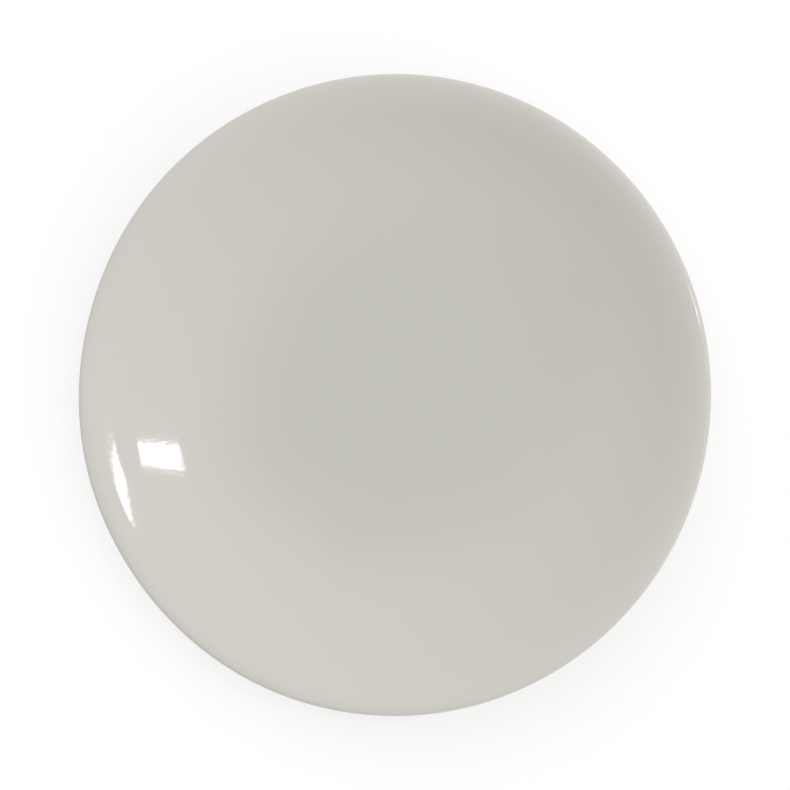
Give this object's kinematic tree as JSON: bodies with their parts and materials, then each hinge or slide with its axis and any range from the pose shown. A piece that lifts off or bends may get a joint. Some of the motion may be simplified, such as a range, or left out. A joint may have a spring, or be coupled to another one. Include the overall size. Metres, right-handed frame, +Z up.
{
  "type": "saucer",
  "caption": "Round white glazed porcelain saucer of coupe form, with a flat well for a cup, a curved wall, a flared lip and a bare foot ring.",
  "frame": {"origin": "centre of the foot ring, at the height of the surface the saucer stands on", "axes": "+Z up, along the axis the saucer was turned on; the saucer is round, so +X and +Y are any two horizontal directions"},
  "size_m": [0.155, 0.155, 0.0195],
  "materials": {
    "bare_porcelain": "fired and unglazed, matt",
    "glaze": "white glossy glaze"
  },
  "bodies": {
    "root": {"porcelain_body": "bare_porcelain", "outer_glaze": "glaze", "recess_glaze": "glaze"}
  },
  "joints": []
}
